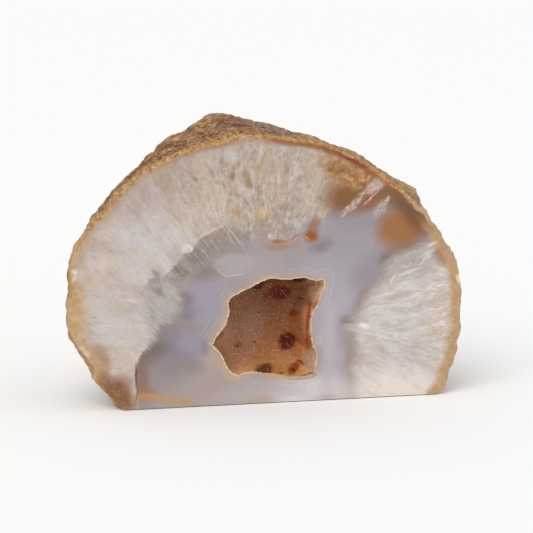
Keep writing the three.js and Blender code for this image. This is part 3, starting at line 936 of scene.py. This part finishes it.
def stained_corner(recipe, colour, spot, wandering, near):
    """The golden grains, the brown glow and the white feathers at the upper right."""
    colour = stained(recipe, colour, wandering, GLOWS)
    colour = stained(recipe, colour, near, EMBERS)
    golden = recipe.most(
        patch(recipe, wandering, 24.6, 61.2, 6.4, 3.2, -26, 0.5),
        patch(recipe, wandering, 19.6, 63.4, 5, 3.8, -25, 0.7),
    )
    leaning = recipe.slanted(recipe.warped(spot, 2, 0.9), 40, 1.4, 0.9)
    grains = grainy(recipe, leaning, 1.5, (150, 106, 67), (212, 170, 120))
    blotch = recipe.noise(spot, 2.6, detail=3)
    grains = recipe.laid(grains, (172, 116, 66), recipe.step(blotch, 0.52, 0.64), 0.7)
    grains = recipe.laid(grains, (144, 96, 57), recipe.step(blotch, 0.46, 0.37), 0.3)
    colour = recipe.laid(colour, grains, golden, 0.95)
    dusky = patch(recipe, near, 19.5, 63, 3, 2, -25, 0.7)
    colour = recipe.laid(colour, (130, 88, 56), dusky, 0.5)
    slant = recipe.slanted(recipe.warped(spot, 2.5, 0.3), 48, 1.8, 0.36)
    tips = recipe.step(recipe.noise(slant, 1, detail=4, roughness=0.65), 0.4, 0.62, 0.12, 1.0)
    bundles = recipe.most(*(patch(recipe, near, *feather) for feather in FEATHERS))
    return recipe.laid(colour, (214, 202, 194), tips, bundles, 0.9)


def skinned(recipe, colour, spot, wandering):
    """The honey-coloured skin under the rind. On top it is a thin lip with a rusty line inside it."""
    axes = recipe.parts(spot)
    ragged = recipe.math("ADD", recipe.unevenness(spot, 3.2, 0.3), recipe.unevenness(spot, 0.9, 0.16))
    to_rind = recipe.math("ADD", recipe.measure("skin"), ragged)
    top = recipe.step(axes["Z"], 43, 51)
    flaky = recipe.noise(spot, 0.9, detail=4, roughness=0.65)
    mottled = recipe.noise(spot, 2.2, detail=4, roughness=0.6)
    honey = recipe.blend(recipe.step(mottled, 0.34, 0.66), (192, 150, 101), (224, 194, 152))
    left = recipe.step(axes["X"], 10, -10)
    honey = recipe.laid(honey, (184, 138, 88), recipe.rest(left), 0.5)
    honey = recipe.laid(honey, (164, 116, 68), recipe.step(flaky, 0.42, 0.34), 0.5)
    honey = recipe.laid(honey, (236, 222, 204), recipe.step(flaky, 0.6, 0.68), 0.7)
    left_width = recipe.course(axes["Z"], [
        (0, 0.4), (6, 0.6), (9, 1.6), (12, 2.2), (16, 1.5), (20, 2.2), (28, 2.8), (33, 2.2), (36, 0.7),
        (40, 1.2), (44, 1.8), (52, 1.4),
    ])
    width = recipe.math("ADD", recipe.times(left, left_width), recipe.times(recipe.rest(left), 2.5))
    band = recipe.step(recipe.math("SUBTRACT", to_rind, width), 1.5, -0.8)
    colour = recipe.laid(colour, honey, recipe.rest(top), band, 0.92)
    warm = recipe.times(recipe.step(to_rind, 4.5, 1.0), recipe.most(recipe.rest(top), left))
    colour = recipe.laid(colour, (178, 149, 120), warm, 0.5)

    rust_share = recipe.course(axes["X"], [
        (-54, 0.12), (-30, 0.2), (-24, 0.4), (-12, 0.5), (-9, 0.2), (-1, 0.3), (2, 0.85), (14, 0.95),
        (29, 0.95), (33, 0.7), (40, 0.4), (50, 0.3),
    ])
    rusty = recipe.blend(recipe.noise(spot, 2.5, detail=3), (118, 72, 42), (172, 118, 66))
    rust_line = recipe.step(to_rind, 2.7, 1.4)
    colour = recipe.laid(colour, rusty, top, rust_line, rust_share)
    lip_width = recipe.course(axes["X"], [
        (-54, 1.3), (-45, 1.0), (-28, 1.0), (-20, 1.3), (-10, 1.0), (-4, 0.9), (2, 0.8), (18, 0.6), (24, 1.0),
        (40, 1.2), (50, 0.8),
    ])
    golden = recipe.blend(recipe.step(flaky, 0.34, 0.66), (164, 110, 58), (210, 168, 112))
    golden = recipe.laid(golden, (206, 182, 158), recipe.step(axes["X"], 34, 46, 0, 0.6))
    golden = recipe.laid(golden, (228, 206, 176), recipe.step(flaky, 0.6, 0.68), 0.6)
    lip = recipe.step(recipe.math("SUBTRACT", to_rind, lip_width), 0.3, -0.2)
    colour = recipe.laid(colour, golden, top, lip, 0.92)
    dark_edge = recipe.times(recipe.step(flaky, 0.43, 0.33), recipe.line(to_rind, 1.1, 0.8), top)
    colour = recipe.laid(colour, (116, 74, 44), dark_edge, 0.45)
    deep_rust = patch(recipe, wandering, 24.3, 65.1, 5, 0.5, -28, 0.6)
    return recipe.laid(colour, (128, 64, 30), deep_rust, 0.9)


# Where the fibres of each quartz radiate from on the polished face, x and z
GREY_CENTRE, LEFT_CENTRE, RIGHT_CENTRE = (40, -40), (-3, 13), (3, 20.5)

# The cut through the stone, as the polished face and the sawn base show it
agate_section, given, recipe = new_group(
    "agate_section", {}, {"Colour": COLOUR, "Roughness": NUMBER, "Height": NUMBER}
)
spot = recipe.place()
wandering = recipe.warped(recipe.warped(spot, 7, 0.6), 2, 0.25)
near = recipe.warped(recipe.warped(spot, 3, 0.2), 1.2, 0.15)
colour = chalcedony(recipe, spot, wandering)
colour = banded(recipe, colour, spot)

grey_grown = crystals(recipe, spot, GREY_CENTRE, 0.3, fineness=118.0)
left_grown = crystals(recipe, spot, LEFT_CENTRE, 0.6)
right_grown = crystals(recipe, spot, RIGHT_CENTRE, 0.45)
grey = grey_quartz(recipe, spot, wandering, near, grey_grown)
grey_fringe = recipe.math("MULTIPLY_ADD", grey_grown["Fleck"], 4, -2)
grey_edge = recipe.math("ADD", recipe.measure("grey_quartz"), recipe.unevenness(spot, 3, 0.6))
grey_depth = recipe.math("ADD", grey_edge, grey_fringe)
colour = recipe.laid(colour, grey, recipe.step(grey_depth, -1.4, 1.6))

right_edge = recipe.measure("quartz_right")
halo = recipe.times(recipe.step(right_edge, -4.5, -0.5), recipe.step(right_edge, 2.5, 0.5))
colour = recipe.laid(colour, (154, 136, 132), halo, 0.5)
white = right_quartz(recipe, spot, wandering, right_grown)
right_fringe = recipe.math("MULTIPLY_ADD", right_grown["Fleck"], 1.6, -0.8)
right_depth = recipe.math("ADD", right_edge, right_fringe)
right_depth = recipe.math("ADD", right_depth, recipe.unevenness(spot, 2.5, 0.4))
colour = recipe.laid(colour, white, recipe.step(right_depth, -2.0, 3.0))

left_fringe = recipe.math("MULTIPLY_ADD", left_grown["Fleck"], 2, -1)
left_edge = recipe.math("ADD", recipe.measure("quartz_left"), left_fringe)
crisp = recipe.step(left_edge, -0.3, 0.4)
soft = recipe.step(left_edge, -2.0, 2.6)
vague = recipe.most(
    patch(recipe, spot, 0, 47, 15, 8, 0, 0.4), patch(recipe, spot, -31.5, 23, 3.5, 6, 0, 0.4)
)
overlap = recipe.math("ADD", recipe.times(crisp, recipe.rest(vague)), recipe.times(soft, vague))
white = left_quartz(recipe, spot, wandering, near, left_grown)
colour = recipe.laid(colour, white, overlap)
colour = stained(recipe, colour, wandering, STAINS)
colour = stained_corner(recipe, colour, spot, wandering, near)
colour = skinned(recipe, colour, spot, wandering)
# Rusty grains at the lower left
rusty = recipe.times(patch(recipe, wandering, -41.4, 4.6, 6.6, 2.8, -48, 0.6), 0.9)
colour = recipe.laid(colour, grainy(recipe, spot, 0.8, (116, 74, 42), (158, 108, 66)), rusty)
colour = stained(recipe, colour, near, MARKS)
grain = recipe.noise(spot, 0.5, detail=3, roughness=0.7)
recipe.node("NodeGroupOutput", {
    "Colour": colour, "Roughness": recipe.step(grain, 0.3, 0.7, 0.14, 0.24), "Height": grain,
})

QUARTZ_IOR = 1.54  # how strongly quartz bends light


def stone_material(name):
    """An empty material for the stone: its principled shader and a recipe to fill the rest."""
    material = bpy.data.materials.new(name)
    material.use_nodes = True
    shader = material.node_tree.nodes["Principled BSDF"]
    shader.inputs["IOR"].default_value = QUARTZ_IOR
    return material, shader, Recipe(material.node_tree)


def finish_shader(recipe, shader, colour, roughness, height, depth):
    """Feeds a shader its colour and roughness, and a relief of the given depth in metres."""
    links = recipe.tree.links
    links.new(colour, shader.inputs["Base Color"])
    links.new(roughness, shader.inputs["Roughness"])
    bump = recipe.node("ShaderNodeBump", {"Height": height, "Strength": 1.0, "Distance": depth})
    links.new(bump.outputs["Normal"], shader.inputs["Normal"])


polished_face, shader, recipe = stone_material("polished_face")
section = recipe.group(agate_section)
finish_shader(recipe, shader, section["Colour"], section["Roughness"], section["Height"], 0.004 * MM)

# The base is only sawn: matt, dusty and faintly scored along the cut
sawn_base, shader, recipe = stone_material("sawn_base")
section = recipe.group(agate_section)
scores = recipe.noise(recipe.stretch(recipe.place(), (0.05, 2.5, 1)), 1, detail=2)
dusty = recipe.laid(section["Colour"], (214, 206, 200), 0.3)
dusty = recipe.lighten(dusty, scores, 0.96, 1.04)
matt = recipe.math("ADD", section["Roughness"], 0.34)
finish_shader(recipe, shader, dusty, matt, scores, 0.05 * MM)

# The rind: weathered, in ridges that run beside the polished face, rusty and pale by turns, with painted
# shade in its pits and painted highlight on its bumps
rind, shader, recipe = stone_material("rind")
spot = recipe.warped(recipe.place(), 6, 0.5)
axes = recipe.parts(spot)
along = recipe.stretch(spot, (1, 3, 1))
ridges = recipe.noise(along, 4, detail=5, roughness=0.65)
fields = recipe.noise(spot, 15, detail=3)
flecks = recipe.noise(recipe.stretch(spot, (1, 1.6, 1)), 1.4, detail=5, roughness=0.78)
rust = recipe.step(recipe.noise(spot, 8, detail=4, roughness=0.6), 0.48, 0.6)
behind_face = recipe.math("SUBTRACT", axes["Y"], FACE_MM)
ragged_depth = recipe.math("ADD", behind_face, recipe.unevenness(spot, 9, 4))
crest = recipe.step(ragged_depth, 28, 16)
calm = recipe.most(crest, recipe.step(recipe.noise(spot, 9, detail=2), 0.42, 0.58, 0.45, 1.0))
sandy = recipe.times(recipe.step(axes["X"], 0, 16), recipe.step(ragged_depth, 18, 8))
colour = recipe.blend(recipe.step(ridges, 0.38, 0.6), (126, 82, 50), (192, 146, 98))
colour = recipe.laid(colour, (146, 124, 112), recipe.step(fields, 0.5, 0.6), 0.6)
colour = recipe.laid(colour, (142, 88, 50), rust, 0.5)
colour = recipe.laid(colour, (204, 172, 136), sandy, 0.6)
colour = recipe.laid(colour, (212, 186, 156), recipe.step(flecks, 0.52, 0.61), calm, 0.7)
colour = recipe.laid(colour, (86, 50, 31), recipe.step(flecks, 0.46, 0.39), calm, 0.9)
golden = recipe.blend(recipe.step(flecks, 0.42, 0.6), (142, 92, 52), (216, 178, 130))
colour = recipe.laid(colour, golden, recipe.step(behind_face, 4.5, 0.5), 0.7)
colour = recipe.laid(colour, (100, 62, 38), recipe.step(flecks, 0.42, 0.36), crest, 0.5)
flank = recipe.times(
    recipe.step(axes["Z"], 54, 46), recipe.step(recipe.math("ABSOLUTE", axes["X"]), 32, 42),
    recipe.step(ragged_depth, 13, 5),
)
honey = recipe.blend(recipe.step(flecks, 0.36, 0.64), (184, 138, 88), (222, 188, 144))
colour = recipe.laid(colour, honey, flank, 0.9)
relief = recipe.measure("relief")
# Painted shade in the pits of the rind, and painted highlight on what stands proud.
colour = recipe.laid(colour, (80, 52, 36), recipe.step(relief, 0.0, -0.5), 0.7)
colour = recipe.laid(colour, (218, 196, 168), recipe.step(relief, 0.15, 0.7), 0.4)
coarse = recipe.noise(along, 1.1, detail=4, roughness=0.7)
worn = recipe.step(flecks, 0.3, 0.7, 0.62, 0.92)
finish_shader(recipe, shader, colour, worn, coarse, 0.5 * MM)

stone_mesh.materials.clear()
for material in (rind, polished_face, sawn_base):
    stone_mesh.materials.append(material)
stone_mesh.polygons.foreach_set("material_index", np.where(kinds == POCKET, RIND, kinds).astype(np.int32))
stone_mesh.update()
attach(stone, "root")
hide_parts("agate_half")

# The druse: the crust of fine quartz crystals that lines the hollow, stained tan and brown, with spots of red
# and black iron minerals, and with painted shade, painted light and painted glints in its paint. It fits the
# stone's hollow exactly, because both are cut with the same plug.
druse = plug
druse.name = "druse_lining"
CRYSTAL_GRAIN = 0.22 * MM  # the size of the faces that the crystals are made of
INNER_WALL = 0.35 * MM  # how far the crystals stand in from the solid's wall
DRUSE_ROUNDS = 6  # how often their surface is evened out to find what stands proud of it
cavity = crust_wall("cavity", outer=False)
finish_modifier(cavity, "REMESH", mode="VOXEL", voxel_size=CRYSTAL_GRAIN)
finish_modifier(cavity, "SMOOTH", factor=0.5, iterations=6)
finish_modifier(cavity, "DISPLACE", strength=-INNER_WALL, mid_level=0)
roughen(cavity, "CLOUDS", (2.5,) * 3, 0.3, middle=0.2, noise_depth=1)
roughen(cavity, "VORONOI", (0.9,) * 3, 0.25, middle=0.2)
roughen(cavity, "VORONOI", (0.5,) * 3, 0.22, middle=0.2)
finish_modifier(druse, "BOOLEAN", operation="DIFFERENCE", solver="MANIFOLD", object=cavity)
bpy.data.objects.remove(cavity)
saw_front(druse, hollow_low, hollow_high)
druse_mesh = druse.data
CUT_RIM, CRYSTALS, BACK = range(3)
druse_kinds = np.full(len(druse_mesh.polygons), CRYSTALS)
hollow_middle = (hollow_low + hollow_high) / 2
for face in druse_mesh.polygons:
    if is_polished(face):
        druse_kinds[face.index] = CUT_RIM
    elif face.normal.dot(hollow_middle - face.center) < 0:
        druse_kinds[face.index] = BACK
corners = corners_of(druse_mesh)
mouth = corners[where_meet(druse_mesh, druse_kinds, CUT_RIM, CRYSTALS)]
keep_measure(druse_mesh, "rim", distance_from(corners, mouth))
keep_measure(druse_mesh, "relief", standing_proud(druse_mesh, DRUSE_ROUNDS))
druse_kinds = np.minimum(druse_kinds, CRYSTALS)
crease_between(druse_mesh, druse_kinds)

# The cut through the crust: white and sugary beside the hollow, and stained like the stone farther out
cut_crust, shader, recipe = stone_material("cut_crust")
spot = recipe.place()
glaze = recipe.noise(spot, 1.0, detail=3)
colour = recipe.blend(recipe.step(recipe.noise(spot, 4), 0.4, 0.6), (176, 154, 137), (188, 166, 145))
low_right = patch(recipe, spot, 12, 16, 10, 20)
colour = recipe.laid(colour, (176, 158, 150), low_right, 0.7)
from_hollow = recipe.math("ADD", recipe.measure("rim"), recipe.unevenness(spot, 0.8, 0.15))
sugar_width = recipe.math("MULTIPLY_ADD", low_right, -0.15, 0.3)
sugary = recipe.step(recipe.math("SUBTRACT", from_hollow, sugar_width), 0.2, -0.1)
sugary = recipe.times(sugary, recipe.rest(patch(recipe, spot, 6, 7.5, 8, 2.5)))
uneven = recipe.step(glaze, 0.35, 0.6, 0.3, 0.85)
colour = recipe.laid(colour, (220, 203, 182), sugary, uneven)
tips = recipe.step(recipe.noise(spot, 0.4, detail=2, roughness=0.7), 0.54, 0.64)
colour = recipe.laid(colour, (240, 232, 220), recipe.step(from_hollow, 0.7, 0.3), tips, 0.8)
ledge = patch(recipe, spot, 4, 7.6, 5, 1.2, 0, 0.4)
colour = recipe.laid(colour, (204, 164, 108), ledge, 0.8)
finish_shader(recipe, shader, colour, recipe.step(glaze, 0, 1, 0.2, 0.4), glaze, 0.01 * MM)

# The stains run into the stone on a slant: how far they shift to the right and down for each millimetre
SLANT = (0.2586, -0.1636)
# Tints and spots on the crystals, and some patches of painted light, as they run out on the polished face
SPOTS = [
    (-9.5, 22.5, 5.5, 10, 0, 0.8, 0.75, (142, 106, 82)),
    (8, 23, 4.5, 9, 0, 0.7, 0.6, (134, 82, 51)),
    # The next four rows are painted light: they lighten the inner corners and the right wall of the hollow
    # against the shade there.
    (9.6, 25, 1.6, 8, 0, 0.7, 0.7, (134, 94, 70)),
    (10.8, 21, 0.5, 9, 0, 0.7, 0.5, (150, 112, 84)),
    (14.2, 31.4, 2.8, 4.2, 0, 0.5, 0.9, (166, 138, 112)),
    (-13, 18.6, 3.2, 4.4, 0, 0.8, 0.85, (180, 139, 107)),
    (12.4, 10.6, 2.2, 3.4, 0, 0.6, 0.9, (143, 122, 103)),
    (-8.6, 10.6, 4.6, 2.8, -20, 0.8, 0.95, (174, 130, 98)),
    (12.5, 21.8, 0.5, 3.6, -3, 0.5, 0.9, (160, 136, 120)),
    (-4.5, 20, 3, 6.5, -20, 0.8, 0.4, (152, 118, 96)),
    (5.8, 7, 3.4, 1.2, 0, 0.5, 0.8, (176, 136, 86)),
    (0, 10.9, 5, 0.35, -4, 0.7, 0.5, (176, 134, 94)),
    (3.6, 30, 3.1, 2.0, 0, 0.2, 0.95, (100, 40, 22)),
    (0.2, 29.3, 1.1, 0.6, 20, 0.4, 0.85, (112, 50, 30)),
    (4.3, 29.4, 0.8, 0.7, 0, 0.7, 0.85, (66, 30, 24)),
    (-2.3, 32.2, 2.0, 0.9, 30, 0.5, 0.95, (76, 36, 26)),
    (8.8, 33.4, 2.0, 0.8, 0, 0.5, 0.95, (76, 34, 26)),
    (9.4, 28.2, 0.45, 0.3, 0, 0.6, 0.8, (84, 46, 34)),
    (10.3, 28, 0.35, 0.4, 0, 0.6, 0.8, (84, 46, 34)),
    (7.7, 24, 1.3, 0.9, 0, 0.6, 0.9, (112, 52, 30)),
    (5.6, 16.3, 2.6, 2.8, 0, 0.25, 0.8, (122, 56, 32)),
    (5.7, 16.4, 2.1, 2.3, 0, 0.2, 0.95, (76, 36, 25)),
    (-8.3, 15.8, 1.1, 0.9, 0, 0.6, 0.9, (134, 62, 36)),
    (-8.3, 15.8, 0.4, 0.4, 0, 0.6, 0.85, (100, 42, 28)),
    (-3.6, 16.5, 0.45, 0.4, 0, 0.6, 0.9, (60, 36, 28)),
    (-2.4, 24.7, 0.3, 0.3, 0, 0.6, 0.8, (92, 52, 38)),
    (11.6, 22.8, 0.6, 4.6, -7, 0.4, 0.85, (120, 60, 36)),
    (11.4, 16.2, 0.8, 2.3, 5, 0.5, 0.85, (122, 64, 40)),
    (12.4, 17.6, 0.4, 0.35, 0, 0.6, 0.9, (66, 34, 26)),
    (11.1, 16.3, 0.35, 0.4, 0, 0.6, 0.9, (80, 40, 30)),
    (-12.9, 18.8, 0.9, 0.5, 35, 0.6, 0.6, (118, 62, 38)),
    (-0.7, 9, 2.5, 1.5, 0, 0.4, 0.92, (78, 46, 34)),
    (3.3, 7.7, 1.2, 0.5, 0, 0.5, 0.85, (140, 70, 40)),
    (4.4, 7.8, 0.8, 0.25, 10, 0.6, 0.8, (90, 58, 44)),
    (7.6, 8.8, 2.1, 1.15, 40, 0.25, 0.92, (132, 56, 30)),
    (7.3, 8.4, 0.6, 0.4, 60, 0.6, 0.9, (84, 40, 28)),
    (9.7, 10.3, 1.1, 0.25, -25, 0.6, 0.9, (60, 40, 34)),
    (11.6, 7.3, 2.2, 0.25, 4, 0.6, 0.8, (110, 58, 44)),
]
drusy, shader, recipe = stone_material("drusy_crystals")
recipe.light, recipe.gloss = 0.7, 0.012  # less light than on the polished face reaches the crystals
shader.inputs["Specular IOR Level"].default_value = 0.2
spot = recipe.place()
axes = recipe.parts(spot)
depth = recipe.math("SUBTRACT", axes["Y"], FACE_MM)
run_out = recipe.node("ShaderNodeCombineXYZ", {
    "X": recipe.math("MULTIPLY_ADD", depth, -SLANT[0], axes["X"]), "Y": FACE_MM,
    "Z": recipe.math("MULTIPLY_ADD", depth, -SLANT[1], axes["Z"]),
}).outputs[0]
wandering = recipe.warped(recipe.warped(run_out, 1.5, 0.3), 0.5, 0.2)
height = recipe.parts(run_out)["Z"]
# Painted shade: the crystals are painted darker towards the top of the hollow, where its upper wall shades
# them, and lighter towards its floor.
colour = recipe.blend(recipe.step(height, 8, 16), (168, 120, 78), (146, 99, 66))
colour = recipe.laid(colour, (122, 80, 53), recipe.step(height, 14, 25))
colour = recipe.laid(colour, (114, 74, 51), recipe.step(height, 23, 33))
colour = stained(recipe, colour, wandering, SPOTS)
# The right wall of the hollow is painted lighter: painted light, against the shade that falls on it.
lit_right_wall = recipe.step(recipe.parts(run_out)["X"], 8, 11)
colour = recipe.lighten(colour, lit_right_wall, 1, 1.45)
sugar = recipe.noise(spot, 0.3, detail=2, roughness=0.7)
colour = recipe.lighten(colour, sugar, 0.62, 1.38)
# Painted glints: bright dots on random facets, crowded on the left of the hollow, stand in for light
# sparkling on the crystals.
facets = recipe.node("ShaderNodeTexVoronoi", {"Vector": spot, "Scale": 2.9})
chance = recipe.parts(facets.outputs["Color"])["X"]
glint_crowding = recipe.most(
    patch(recipe, run_out, -4.5, 19, 2.5, 7, -20, 0.8), patch(recipe, run_out, -9, 17, 5, 8, 0, 0.8)
)
painted_glint = recipe.times(
    recipe.step(facets.outputs["Distance"], 0.42, 0.26),
    recipe.step(recipe.math("MULTIPLY_ADD", glint_crowding, 0.25, chance), 0.82, 0.93),
)
colour = recipe.laid(colour, (208, 184, 164), painted_glint, 0.6)
relief = recipe.measure("relief")
# Painted highlight on the crystals that stand proud.
colour = recipe.laid(colour, (190, 148, 110), recipe.step(relief, 0.02, 0.16), 0.25)
finish_shader(recipe, shader, colour, recipe.step(sugar, 0.3, 0.7, 0.18, 0.45), sugar, 0.12 * MM)

druse_mesh.materials.clear()
for material in (cut_crust, drusy):
    druse_mesh.materials.append(material)
druse_mesh.polygons.foreach_set("material_index", druse_kinds.astype(np.int32))
druse_mesh.update()
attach(druse, "root")
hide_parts("druse_crust")

# The floor: plain pale card that reaches well past the picture's edges. It lies a hair below the sawn base,
# so that the two flat sides don't meet.
FLOOR_SIDE = 12
FLOOR_DROP = 0.2 * MM
bpy.ops.object.select_all(action="DESELECT")
bpy.ops.mesh.primitive_plane_add(size=FLOOR_SIDE, location=(0, 0, -FLOOR_DROP))
floor = bpy.context.object
floor.name = "pale_floor"
floor_card = bpy.data.materials.new("pale_card")
floor_card.use_nodes = True
card_shader = floor_card.node_tree.nodes["Principled BSDF"]
card_shader.inputs["Base Color"].default_value = (0.92, 0.915, 0.905, 1)
card_shader.inputs["Roughness"].default_value = 0.9
floor.data.materials.append(floor_card)

# The light: an even white surround, and a lamp so wide that its shadows are soft. It shines from the upper
# left in front of the stone.
world = bpy.data.worlds.new("even_surround")
bpy.context.scene.world = world
world.use_nodes = True
world.node_tree.nodes["Background"].inputs["Color"].default_value = (1, 1, 1, 1)
world.node_tree.nodes["Background"].inputs["Strength"].default_value = 0.75
lamp = bpy.data.lights.new("soft_lamp", "SUN")
lamp.energy = 1.5
lamp.angle = math.radians(40)
lamp_stand = bpy.data.objects.new("soft_lamp", lamp)
bpy.context.scene.collection.objects.link(lamp_stand)
LAMP_FROM = Vector((-0.42, -0.62, 0.66))
lamp_stand.rotation_euler = LAMP_FROM.to_track_quat("Z", "Y").to_euler()

# The camera: a little to the left of the polished face and above it, as in the photograph. Its lens is so
# long that a pixel of a square picture covers about a quarter of a millimetre of the face.
AZIMUTH = math.radians(-14.5)
ELEVATION = math.radians(9)
DISTANCE = 0.8
AIM = Vector((-0.127 * MM, FACE_Y, 37.318 * MM))
FOCAL_PIXELS = 2976
FRAME_PIXELS = 533
SENSOR = 36
back = Vector((
    math.sin(AZIMUTH) * math.cos(ELEVATION), -math.cos(AZIMUTH) * math.cos(ELEVATION), math.sin(ELEVATION)
))
camera = bpy.data.objects.new("camera", bpy.data.cameras.new("camera"))
bpy.context.scene.collection.objects.link(camera)
camera.location = AIM + DISTANCE * back
camera.rotation_euler = back.to_track_quat("Z", "Y").to_euler()
camera.data.sensor_width = SENSOR
camera.data.lens = FOCAL_PIXELS / FRAME_PIXELS * SENSOR
camera.data.clip_end = 20
bpy.context.scene.camera = camera
bpy.context.scene.view_settings.view_transform = "Standard"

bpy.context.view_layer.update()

bpy.ops.object.select_all(action="DESELECT")
